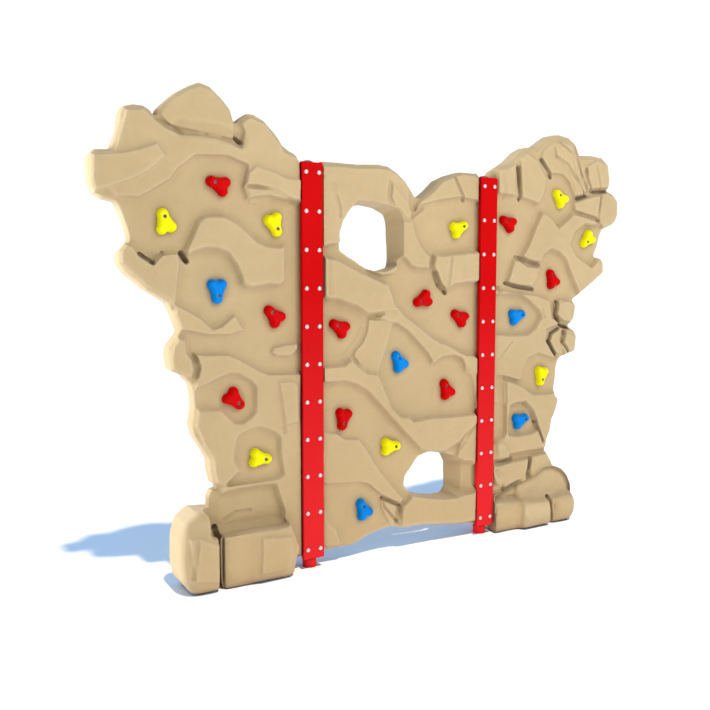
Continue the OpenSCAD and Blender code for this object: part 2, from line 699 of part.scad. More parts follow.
module seam_bolts(x) {
    color(steel) at_seam_bolts(x) {
        translate([0, 0, face_level]) dome_head(bolt_head_d, bolt_head_h);
        translate([0, 0, -face_level - washer_h - nut_h - 2])
            cylinder(d = bolt_d, h = 2 * face_level + washer_h + nut_h + 3);
    }
}

module seam_washers(x) {
    color(steel) at_seam_bolts(x) translate([0, 0, -face_level - washer_h]) difference() {
        cylinder(d = 22, h = washer_h);
        translate([0, 0, -1]) cylinder(d = bolt_d + 0.6, h = washer_h + 2);
    }
}

module seam_nuts(x) {
    color(steel) at_seam_bolts(x) translate([0, 0, -face_level - washer_h - nut_h]) difference() {
        cylinder(d = 18.4, h = nut_h, $fn = 6);
        translate([0, 0, -1]) cylinder(d = bolt_d, h = nut_h + 2);
    }
}

// ---------------------------------------------------------------- climbing holds
// [x, z, turn of the long lobe, level of the rock under the hold]

holds = [
    [-1365, 1820, 105, floor_level], [-1110, 1505, 270, floor_level], [-1090, 2015, 160, floor_level],
    [-1030, 955, 315, 22], [-895, 635, 350, 20], [-800, 1365, 135, floor_level],
    [-800, 1840, 290, floor_level], [-410, 1295, 150, 18], [-395, 805, 260, floor_level],
    [-265, 270, 115, floor_level], [-95, 615, 0, floor_level], [-30, 1090, 120, floor_level],
    [135, 1445, 200, floor_level], [305, 910, 115, floor_level], [375, 1855, 25, floor_level],
    [400, 1335, 150, floor_level], [760, 1900, 155, floor_level], [840, 1335, 15, 16],
    [880, 680, 15, 20], [1050, 960, 260, floor_level], [1130, 1560, 115, floor_level],
    [1185, 2070, 135, floor_level], [1435, 1825, 220, floor_level]
];
insert_d = 16;
insert_len = 26;
boss_d = 40;
boss_len = 34;

// The moulded body of a hold, with its middle at the origin and its long lobe along +X
module hold_body() {
    short_lobes = [132, 228];
    difference() {
        union() {
            hull() {
                cylinder(r = 34, h = 10, $fn = 16);
                translate([0, 0, hold_h - 12]) cylinder(r = 18, h = 12, $fn = 12);
                translate([hold_reach, 0, 0]) cylinder(r = 27, h = 10, $fn = 16);
                translate([hold_reach - 4, 0, hold_h - 14]) cylinder(r = 16, h = 10, $fn = 12);
            }
            for (turn = short_lobes) hull() {
                cylinder(r = 30, h = 10, $fn = 16);
                translate([0, 0, hold_h - 12]) cylinder(r = 16, h = 12, $fn = 12);
                rotate(turn) {
                    translate([34, 0, 0]) cylinder(r = 27, h = 10, $fn = 16);
                    translate([30, 0, hold_h - 14]) cylinder(r = 16, h = 10, $fn = 12);
                }
            }
        }
        translate([hold_reach - 12, 0, -1]) cylinder(d = hold_bolt_d + 1, h = hold_h + 20);
        translate([hold_reach - 12, 0, 22]) cylinder(d = 19, h = hold_h);
    }
}

module at_hold(h) {
    translate([h[0], -h[3], h[1]]) rotate([90, 0, 0]) rotate(h[2]) children();
}

module hold(number, tint) {
    color(tint) on_site() at_hold(holds[number - 1]) hold_body();
}

module at_hold_bolts(low, high) {
    for (h = holds)
        if (h[0] > low && h[0] < high) at_hold(h) translate([hold_reach - 12, 0, 0]) children();
}

module hold_bosses(low, high) {
    at_hold_bolts(low, high) translate([0, 0, -boss_len]) cylinder(d = boss_d, h = boss_len, $fn = 20);
}

module hold_sockets(low, high) {
    at_hold_bolts(low, high) translate([0, 0, -insert_len]) cylinder(d = insert_d, h = insert_len + 60);
}

module hold_inserts() {
    color("goldenrod") on_site() at_hold_bolts(-5000, 5000) translate([0, 0, -insert_len]) difference() {
        cylinder(d = insert_d, h = insert_len);
        translate([0, 0, 2]) cylinder(d = hold_bolt_d, h = insert_len);
    }
}

module hold_bolts() {
    color(steel) on_site() at_hold_bolts(-5000, 5000) {
        translate([0, 0, -22]) cylinder(d = hold_bolt_d, h = 46);
        translate([0, 0, 22]) difference() {
            cylinder(d = 17, h = 9);
            translate([0, 0, 3]) cylinder(d = 9, h = 10, $fn = 6);
        }
    }
}

// ---------------------------------------------------------------- assembly

module on_site() {
    translate([site_x, 0, 0]) children();
}

left_x = -post_pitch / 2;
right_x = post_pitch / 2;

on_site() left_panel();
on_site() centre_panel();
on_site() right_panel();
color(signal_red) on_site() post(left_x);  // left_post
color(signal_red) on_site() post(right_x);  // right_post
color(signal_red) on_site() post_foot(left_x);  // left_post_foot
color(signal_red) on_site() post_foot(right_x);  // right_post_foot
color("dimgray") on_site() post_cap(left_x);  // left_post_cap
color("dimgray") on_site() post_cap(right_x);  // right_post_cap
color(signal_red) on_site() channel(left_x, -1);  // left_front_channel
color(signal_red) on_site() channel(right_x, -1);  // right_front_channel
color(signal_red) on_site() channel(left_x, 1);  // left_back_channel
color(signal_red) on_site() channel(right_x, 1);  // right_back_channel
on_site() seam_bolts(left_x);  // left_seam_bolts
on_site() seam_bolts(right_x);  // right_seam_bolts
on_site() seam_washers(left_x);  // left_seam_washers
on_site() seam_washers(right_x);  // right_seam_washers
on_site() seam_nuts(left_x);  // left_seam_nuts
on_site() seam_nuts(right_x);  // right_seam_nuts
hold_bolts();
hold_inserts();
hold(1, sun_yellow);  // hold_01_yellow
hold(2, sky_blue);  // hold_02_blue
hold(3, signal_red);  // hold_03_red
hold(4, signal_red);  // hold_04_red
hold(5, sun_yellow);  // hold_05_yellow
hold(6, signal_red);  // hold_06_red
hold(7, sun_yellow);  // hold_07_yellow
hold(8, signal_red);  // hold_08_red
hold(9, signal_red);  // hold_09_red
hold(10, sky_blue);  // hold_10_blue
hold(11, sun_yellow);  // hold_11_yellow
hold(12, sky_blue);  // hold_12_blue
hold(13, signal_red);  // hold_13_red
hold(14, signal_red);  // hold_14_red
hold(15, sun_yellow);  // hold_15_yellow
hold(16, signal_red);  // hold_16_red
hold(17, signal_red);  // hold_17_red
hold(18, sky_blue);  // hold_18_blue
hold(19, sky_blue);  // hold_19_blue
hold(20, sun_yellow);  // hold_20_yellow
hold(21, signal_red);  // hold_21_red
hold(22, sun_yellow);  // hold_22_yellow
hold(23, sun_yellow);  // hold_23_yellow
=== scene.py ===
"""A free-standing playground climbing wall: moulded rock panels, red cover channels, holds."""

import math

import bmesh
import bpy
import numpy as np
from mathutils import Matrix, Vector


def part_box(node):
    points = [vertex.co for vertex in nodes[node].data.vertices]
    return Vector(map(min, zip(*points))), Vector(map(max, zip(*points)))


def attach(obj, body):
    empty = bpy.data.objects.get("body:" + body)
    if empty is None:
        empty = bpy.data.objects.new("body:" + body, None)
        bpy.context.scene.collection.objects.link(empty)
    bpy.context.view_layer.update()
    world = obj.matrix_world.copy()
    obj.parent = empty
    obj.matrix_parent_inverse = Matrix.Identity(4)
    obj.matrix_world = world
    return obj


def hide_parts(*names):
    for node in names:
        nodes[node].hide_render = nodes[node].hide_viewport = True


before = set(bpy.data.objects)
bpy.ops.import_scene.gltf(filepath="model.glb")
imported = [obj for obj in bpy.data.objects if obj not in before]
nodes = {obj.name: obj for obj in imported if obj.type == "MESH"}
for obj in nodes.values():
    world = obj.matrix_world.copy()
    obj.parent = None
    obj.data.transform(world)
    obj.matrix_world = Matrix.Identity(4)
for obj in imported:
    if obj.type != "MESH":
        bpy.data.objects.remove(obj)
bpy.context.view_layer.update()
holds = sorted(n for n in nodes if n.startswith("hold_") and n[5].isdigit())

# Driving sizes of the part, in metres
SITE_X = -0.008  # the middle between the posts
POST_X = (SITE_X - 0.590, SITE_X + 0.590)
FACE = 0.058  # front face of the channels, in front of the post axes
WELD = 1e-5  # vertices nearer than this are one

# Finish of the rock meshes
VOXEL = 0.0055
MOST_TRIANGLES = 180000  # in the mesh of one panel
CLEAR = 0.0004  # kept between the rock and the box of its part


# ---------------------------------------------------------------- camera and light

CAMERA_PLACE = (SITE_X - 2.522, -FACE - 3.7245, 1.523)
CAMERA_YAW, CAMERA_PITCH = math.radians(30.415), math.radians(-4.966)
CAMERA_LENS, CAMERA_SENSOR = 40.41, 36.0  # in millimetres

SKY_COLOUR, SKY_STRENGTH = (0.84, 0.90, 1.0, 1.0), 0.38
BACKDROP_COLOUR, BACKDROP_STRENGTH = (1.0, 1.0, 1.0, 1.0), 1.1


def aim(obj, yaw, pitch):
    """Turns a camera to look along a yaw from +Y towards +X and a pitch above level."""
    direction = Vector((
        math.sin(yaw) * math.cos(pitch),
        math.cos(yaw) * math.cos(pitch),
        math.sin(pitch),
    ))
    obj.rotation_euler = direction.to_track_quat("-Z", "Y").to_euler()


def make_camera():
    data = bpy.data.cameras.new("camera")
    data.lens = CAMERA_LENS
    data.sensor_width = CAMERA_SENSOR
    data.clip_end = 100.0
    camera = bpy.data.objects.new("camera", data)
    camera.location = CAMERA_PLACE
    aim(camera, CAMERA_YAW, CAMERA_PITCH)
    bpy.context.scene.collection.objects.link(camera)
    bpy.context.scene.camera = camera


def make_softbox(name, place, target, size, power, colour):
    data = bpy.data.lights.new(name, "AREA")
    data.shape = "RECTANGLE"
    data.size, data.size_y = size
    data.energy = power
    data.color = colour
    light = bpy.data.objects.new(name, data)
    light.location = place
    light.rotation_euler = (Vector(target) - Vector(place)).to_track_quat("-Z", "Y").to_euler()
    bpy.context.scene.collection.objects.link(light)
    return light


def make_sun(name, direction, energy, colour, spread, floor):
    """A sun that only lights the floor."""
    data = bpy.data.lights.new(name, "SUN")
    data.energy = energy
    data.color = colour
    data.angle = math.radians(spread)
    sun = bpy.data.objects.new(name, data)
    sun.rotation_euler = Vector(direction).to_track_quat("-Z", "Y").to_euler()
    bpy.context.scene.collection.objects.link(sun)
    lit = bpy.data.collections.new("lit by the " + name)
    lit.objects.link(floor)
    sun.light_linking.receiver_collection = lit


def keep_dark(light, *objects):
    """Leaves the objects out of what the light lights."""
    unlit = bpy.data.collections.new("not lit by the " + light.name)
    for item in objects:
        unlit.objects.link(item)
    for entry in unlit.collection_objects:
        entry.light_linking.link_state = "EXCLUDE"
    light.light_linking.receiver_collection = unlit


def make_lights(floor, centre_panel):
    """Soft boxes for the wall; a sun and a blue sky for the floor and the shadow on it."""
    keep_dark(
        make_softbox("key", (1.5, -4.8, 5.6), (0, 0, 1.2), (4.5, 3.5), 192, (0.985, 0.98, 0.94)),
        floor,
    )
    keep_dark(
        make_softbox("front", (0.8, -7.0, 1.6), (0, 0, 1.3), (4.0, 3.0), 82, (1.0, 0.98, 0.95)),
        floor,
    )
    # Pale light on the edges that face left
    keep_dark(
        make_softbox("rim", (-5.6, 2.0, 2.4), (-1.4, 0, 1.3), (2.5, 4.0), 420, (0.90, 0.93, 1.0)),
        floor,
        centre_panel,
    )
    # Weak and broad, for the back
    keep_dark(
        make_softbox("back", (1.0, 6.0, 3.4), (0, 0, 1.2), (5.0, 4.0), 90, (1.0, 0.98, 0.95)),
        floor,
    )

    make_sun("sun", (0.0, 0.42, -0.90), 3.3, (1.0, 0.82, 0.60), 2.5, floor)
    make_sun("sky", (0.0, 0.0, -1.0), 1.7, (0.05, 0.45, 1.0), 150.0, floor)


def make_world():
    """A pale backdrop to look at, and a slightly blue sky to light by."""
    world = bpy.data.worlds.new("studio")
    world.use_nodes = True
    tree = world.node_tree
    light = tree.nodes["Background"]
    light.inputs["Color"].default_value = SKY_COLOUR
    light.inputs["Strength"].default_value = SKY_STRENGTH
    backdrop = tree.nodes.new("ShaderNodeBackground")
    backdrop.inputs["Color"].default_value = BACKDROP_COLOUR
    backdrop.inputs["Strength"].default_value = BACKDROP_STRENGTH
    path = tree.nodes.new("ShaderNodeLightPath")
    mix = tree.nodes.new("ShaderNodeMixShader")
    tree.links.new(path.outputs["Is Camera Ray"], mix.inputs["Fac"])
    tree.links.new(light.outputs["Background"], mix.inputs[1])
    tree.links.new(backdrop.outputs["Background"], mix.inputs[2])
    tree.links.new(mix.outputs["Shader"], tree.nodes["World Output"].inputs["Surface"])
    bpy.context.scene.world = world
    bpy.context.scene.view_settings.view_transform = "Standard"


# ---------------------------------------------------------------- materials

class Shader:
    """A small helper that builds a Principled material out of nodes."""

    def __init__(self, name, roughness, metallic=0.0):
        self.material = bpy.data.materials.new(name)
        self.material.use_nodes = True
        self.tree = self.material.node_tree
        self.bsdf = self.tree.nodes["Principled BSDF"]
        self.bsdf.inputs["Roughness"].default_value = roughness
        self.bsdf.inputs["Metallic"].default_value = metallic
        self.place = self.node("ShaderNodeTexCoord").outputs["Object"]

    def feed(self, socket, value):
        """Links the value to the socket where it is an output, and sets it where it is a constant."""
        if isinstance(value, bpy.types.NodeSocket):
            self.tree.links.new(value, socket)
        elif socket.type == "RGBA":
            socket.default_value = (*value, 1.0)
        else:
            socket.default_value = value

    def node(self, kind, **inputs):
        made = self.tree.nodes.new(kind)
        for name, value in inputs.items():
            self.feed(made.inputs[name], value)
        return made

    def set(self, name, value):
        self.feed(self.bsdf.inputs[name], value)

    def noise(self, scale, detail=3.0, roughness=0.5, distortion=0.0):
        made = self.node(
            "ShaderNodeTexNoise", Vector=self.place, Scale=scale, Detail=detail,
            Roughness=roughness, Distortion=distortion,
        )
        return made.outputs["Fac"]

    def height(self):
        """Height above the ground."""
        return self.node("ShaderNodeSeparateXYZ", Vector=self.place).outputs["Z"]

    def remap(self, value, low, high, to_low=0.0, to_high=1.0):
        made = self.node("ShaderNodeMapRange", Value=value)
        made.inputs["From Min"].default_value = low
        made.inputs["From Max"].default_value = high
        made.inputs["To Min"].default_value = to_low
        made.inputs["To Max"].default_value = to_high
        return made.outputs["Result"]

    def math(self, operation, a, b):
        made = self.tree.nodes.new("ShaderNodeMath")
        made.operation = operation
        for socket, value in zip(made.inputs, (a, b)):
            self.feed(socket, value)
        return made.outputs[0]

    def mix(self, factor, a, b):
        """Colour a where the factor is 0, colour b where it is 1."""
        made = self.tree.nodes.new("ShaderNodeMix")
        made.data_type = "RGBA"
        colours = [s for s in made.inputs if s.type == "RGBA"]
        for socket, value in zip((made.inputs[0], *colours), (factor, a, b)):
            self.feed(socket, value)
        return next(s for s in made.outputs if s.type == "RGBA")

    def bump(self, height, distance, strength=1.0, normal=None):
        made = self.node("ShaderNodeBump", Height=height)
        made.inputs["Distance"].default_value = distance
        made.inputs["Strength"].default_value = strength
        if normal is not None:
            self.tree.links.new(normal, made.inputs["Normal"])
        return made.outputs["Normal"]

    def upward(self):
        """1 where the surface faces up, -1 where it faces down."""
        geometry = self.tree.nodes.new("ShaderNodeNewGeometry")
        split = self.node("ShaderNodeSeparateXYZ", Vector=geometry.outputs["Normal"])
        return split.outputs["Z"]

    def hollow(self, reach, most=0.3):
        """1 deep in corners and cracks, 0 in the open."""
        made = self.node("ShaderNodeAmbientOcclusion", Distance=reach)
        made.samples = 8
        return self.remap(made.outputs["AO"], 1.0, most)

    def edge(self, low=0.5, high=0.56):
        """1 on sharp outer edges, 0 elsewhere."""
        geometry = self.tree.nodes.new("ShaderNodeNewGeometry")
        return self.remap(geometry.outputs["Pointiness"], low, high)


def rock_material():
    m = Shader("rock_plastic", 0.78)
    broad = m.noise(1.7, 4.0, 0.55)
    middle = m.noise(14.0, 4.0, 0.6)
    speckle = m.noise(420.0, 2.0, 0.6)
    base = m.mix(m.remap(broad, 0.3, 0.7), (0.56, 0.405, 0.205), (0.64, 0.47, 0.250))
    base = m.mix(m.remap(middle, 0.35, 0.75, 0.0, 0.35), base, (0.50, 0.36, 0.175))
    base = m.mix(m.remap(speckle, 0.35, 0.68, 0.0, 0.42), base, (0.42, 0.31, 0.155))
    # Paler in patches on faces that turn upwards: part dust, part painted light from above
    pale_patches = m.math("MULTIPLY", m.remap(m.upward(), 0.25, 0.95), m.remap(middle, 0.3, 0.6))
    base = m.mix(m.math("MULTIPLY", pale_patches, 0.25), base, (0.72, 0.60, 0.39))
    # Painted highlight: paler along sharp ridges and outer edges
    base = m.mix(m.math("MULTIPLY", m.edge(), 0.30), base, (0.78, 0.67, 0.46))
    # Painted shade: darker in corners, recesses and under ledges
    painted_shade = m.math("MULTIPLY", m.hollow(0.12, 0.25), m.remap(middle, 0.2, 0.6, 0.8, 1.0))
    base = m.mix(m.math("MULTIPLY", painted_shade, 0.65), base, (0.26, 0.17, 0.085))
    # Painted shade: much darker deep in cracks and narrow grooves
    crack_shade = m.hollow(0.035, 0.2)
    base = m.mix(m.math("MULTIPLY", crack_shade, 0.6), base, (0.13, 0.08, 0.045))
    m.set("Base Color", base)
    m.set("Roughness", m.remap(speckle, 0.3, 0.7, 0.70, 0.88))
    m.set("Specular IOR Level", 0.2)
    m.set("Sheen Weight", 0.2)
    m.set("Sheen Roughness", 0.5)
    grain = m.bump(m.noise(620.0, 3.0, 0.6), 0.0009, 0.65)
    cast = m.bump(m.noise(120.0, 3.0, 0.5), 0.0024, 0.45, grain)
    m.set("Normal", cast)
    return m.material


def powder_coat_material():
    m = Shader("red_powder_coat", 0.45)
    broad = m.noise(2.2, 3.0)
    base = m.mix(m.remap(broad, 0.3, 0.7), (0.55, 0.0008, 0.0012), (0.61, 0.0012, 0.0018))
    # Dust in pale patches
    pale_patches = m.math("MULTIPLY", m.remap(m.noise(38.0, 4.0, 0.7), 0.6, 0.85), 0.05)
    base = m.mix(pale_patches, base, (0.66, 0.05, 0.04))
    # Painted light: paler towards the bottom, standing in for light thrown up from the floor
    base = m.mix(m.remap(m.height(), 1.5, 0.2), base, (0.77, 0.020, 0.024))
    # Painted shade: dark in the gaps beside the rock and in corners
    base = m.mix(m.math("MULTIPLY", m.hollow(0.03, 0.3), 0.6), base, (0.16, 0.002, 0.003))
    m.set("Base Color", base)
    m.set("Roughness", m.remap(m.noise(30.0, 4.0, 0.65), 0.3, 0.75, 0.42, 0.56))
    m.set("Specular IOR Level", 0.04)
    m.set("Normal", m.bump(m.noise(900.0, 2.0, 0.5), 0.0003, 0.3))
    return m.material


def hold_material(name, colour, shade, scuff):
    """Cast resin: its colour, a darker shade of it, and the pale colour of worn edges."""
    m = Shader(name, 0.45)
    base = m.mix(m.remap(m.noise(9.0, 3.0), 0.3, 0.7), colour, shade)
    base = m.mix(m.remap(m.noise(500.0, 2.0), 0.4, 0.75, 0.0, 0.18), base, shade)
    worn = m.math("MULTIPLY", m.edge(0.52, 0.62), m.remap(m.noise(60.0, 4.0, 0.7), 0.4, 0.7))
    base = m.mix(m.math("MULTIPLY", worn, 0.30), base, scuff)
    m.set("Base Color", base)
    m.set("Specular IOR Level", 0.05)
    m.set("Roughness", m.remap(m.noise(75.0, 4.0, 0.6), 0.3, 0.7, 0.38, 0.58))
    m.set("Normal", m.bump(m.noise(700.0, 3.0, 0.6), 0.0006, 0.5))
    return m.material


def hold_bolt_material():
    m = Shader("grey_bolts", 0.45, 0.6)
    m.set("Base Color", m.mix(m.noise(300.0), (0.13, 0.128, 0.125), (0.19, 0.186, 0.18)))
    m.set("Roughness", m.remap(m.noise(500.0), 0.3, 0.7, 0.35, 0.55))
    m.set("Normal", m.bump(m.noise(1500.0), 0.0002, 0.4))
    return m.material


def bolt_material():
    m = Shader("plated_bolts", 0.28, 0.6)
    base = m.mix(m.remap(m.noise(260.0, 3.0), 0.35, 0.7), (0.80, 0.67, 0.65), (0.66, 0.55, 0.53))
    m.set("Base Color", base)
    m.set("Roughness", m.remap(m.noise(400.0, 3.0, 0.6), 0.3, 0.7, 0.24, 0.42))
    m.set("Normal", m.bump(m.noise(1500.0, 2.0), 0.0002, 0.4))
    return m.material


def brass_material():
    m = Shader("insert_brass", 0.35, 1.0)
    m.set("Base Color", m.mix(m.noise(300.0), (0.70, 0.52, 0.24), (0.58, 0.40, 0.16)))
    m.set("Roughness", m.remap(m.noise(400.0), 0.3, 0.7, 0.28, 0.45))
    m.set("Normal", m.bump(m.noise(1200.0), 0.0002, 0.4))
    return m.material


def cap_material():
    m = Shader("cap_plastic", 0.55)
    m.set("Base Color", m.mix(m.noise(40.0, 4.0), (0.16, 0.14, 0.125), (0.24, 0.215, 0.19)))
    m.set("Roughness", m.remap(m.noise(90.0), 0.3, 0.7, 0.45, 0.7))
    m.set("Normal", m.bump(m.noise(800.0), 0.0004, 0.4))
    return m.material


def floor_material():
    m = Shader("studio_floor", 0.9)
    m.set("Base Color", m.mix(m.noise(0.8, 2.0), (0.93, 0.94, 0.95), (0.95, 0.955, 0.96)))
    m.set("Specular IOR Level", 0.0)
    return m.material


# ---------------------------------------------------------------- mesh tools

def add_object(name, mesh):
    made = bpy.data.objects.new(name, mesh)
    bpy.context.scene.collection.objects.link(made)
    return made


def applied(holder):
    """The holder's mesh with its modifiers applied; the holder goes."""
    bpy.context.view_layer.update()
    depsgraph = bpy.context.evaluated_depsgraph_get()
    made = bpy.data.meshes.new_from_object(holder.evaluated_get(depsgraph))
    bpy.data.objects.remove(holder)
    return made


def smooth_shaded(mesh):
    mesh.polygons.foreach_set("use_smooth", [True] * len(mesh.polygons))


def paint(mesh, material):
    """Gives a mesh its only material."""
    mesh.materials.clear()
    mesh.materials.append(material)


def welded(mesh):
    """An editable copy of a CAD mesh, its doubled vertices joined."""
    bm = bmesh.new()
    bm.from_mesh(mesh)
    bmesh.ops.remove_doubles(bm, verts=bm.verts, dist=WELD)
    return bm


def grouped(items, neighbours):
    """The items in groups that hang together; neighbours(item) gives those next to one."""
    seen = set()
    groups = []
    for start in items:
        if start in seen:
            continue
        seen.add(start)
        stack = [start]
        group = []
        while stack:
            item = stack.pop()
            group.append(item)
            for other in neighbours(item):
                if other not in seen:
                    seen.add(other)
                    stack.append(other)
        groups.append(group)
    return groups


def solid_centres(mesh):
    """The middle of the box of every separate solid in a CAD mesh."""
    bm = welded(mesh)
    centres = []
    for group in grouped(bm.verts, lambda v: [edge.other_vert(v) for edge in v.link_edges]):
        corners = np.array([vertex.co for vertex in group])
        centres.append((corners.min(0) + corners.max(0)) / 2)
    bm.free()
    return centres


def vertex_array(mesh):
    places = np.empty(len(mesh.vertices) * 3)
    mesh.vertices.foreach_get("co", places)
    return places.reshape(-1, 3)


def set_vertices(mesh, places):
    mesh.vertices.foreach_set("co", places.ravel())
    mesh.update()


def normal_array(mesh):
    normals = np.empty(len(mesh.vertices) * 3)
    mesh.vertices.foreach_get("normal", normals)
    return normals.reshape(-1, 3)


def edge_array(mesh):
    edges = np.empty(len(mesh.edges) * 2, int)
    mesh.edges.foreach_get("vertices", edges)
    return edges.reshape(-1, 2)


def smoothed(places, edges, rounds, strength=0.5):
    """Moves each vertex towards the middle of its neighbours."""
    size = len(places)
    count = np.maximum(np.bincount(edges.ravel(), minlength=size), 1)
    for _ in range(rounds):
        total = np.empty_like(places)
        for axis in range(3):
            column = places[:, axis]
            total[:, axis] = np.bincount(edges[:, 0], column[edges[:, 1]], size)
            total[:, axis] += np.bincount(edges[:, 1], column[edges[:, 0]], size)
        places = places + strength * (total / count[:, None] - places)
    return places


def smoothed_where(places, edges, chosen, rounds):
    """Smooths only the chosen vertices; the others around them stay."""
    index = np.full(len(places), -1)
    index[chosen] = np.arange(len(chosen))
    inner = index[edges]
    inner = inner[(inner >= 0).all(1)]
    result = places.copy()
    result[chosen] = smoothed(places[chosen], inner, rounds)
    return result


def smooth_step(value, low, high):
    t = np.clip((value - low) / (high - low), 0.0, 1.0)
    return t * t * (3.0 - 2.0 * t)


def distance_to_line(x, z, line):
    """Distance of the points (x, z) to a broken line, all in metres."""
    best = np.full(len(x), 1e9)
    for (ax, az), (bx, bz) in zip(line[:-1], line[1:]):
        dx, dz = bx - ax, bz - az
        t = np.clip(((x - ax) * dx + (z - az) * dz) / (dx * dx + dz * dz), 0.0, 1.0)
        best = np.minimum(best, np.hypot(x - ax - t * dx, z - az - t * dz))
    return best


# ---------------------------------------------------------------- rock surface
# All in metres. Places are (x, z) as in the part: x from the middle between the posts.

# Boulders: their top, the depth over which they stand out of the wall, and their wear
BOULDER_TOP = 0.43
BOULDER_DEPTH = (0.06, 0.09)
WEAR_ROUNDS = 32

# Unevenness of the casting: size of its waves, height on the front, more at the back, seed
UNEVEN = ((0.30, 0.0055, 0.0085, 3), (0.085, 0.0024, 0.0046, 5), (0.030, 0.0014, 0.0, 7))

# Seats of the holds: flat within the first radius, uneven beyond the second
SEAT_RADII = (0.07, 0.13)
SEAT_DEPTH = 0.05  # from the top of a hold to its seat

# Gap between the two left boulders, and how far and how strongly their flanks are drawn in
GAP_X = -1.135
GAP_REACH = 0.085
GAP_POWER = 1.8

# Half the width of the seam covers, and how far from a post the relief is drawn up to them
COVER_HALF = 0.066
SEAM_REACH = 0.150
SEAM_POWER = 4

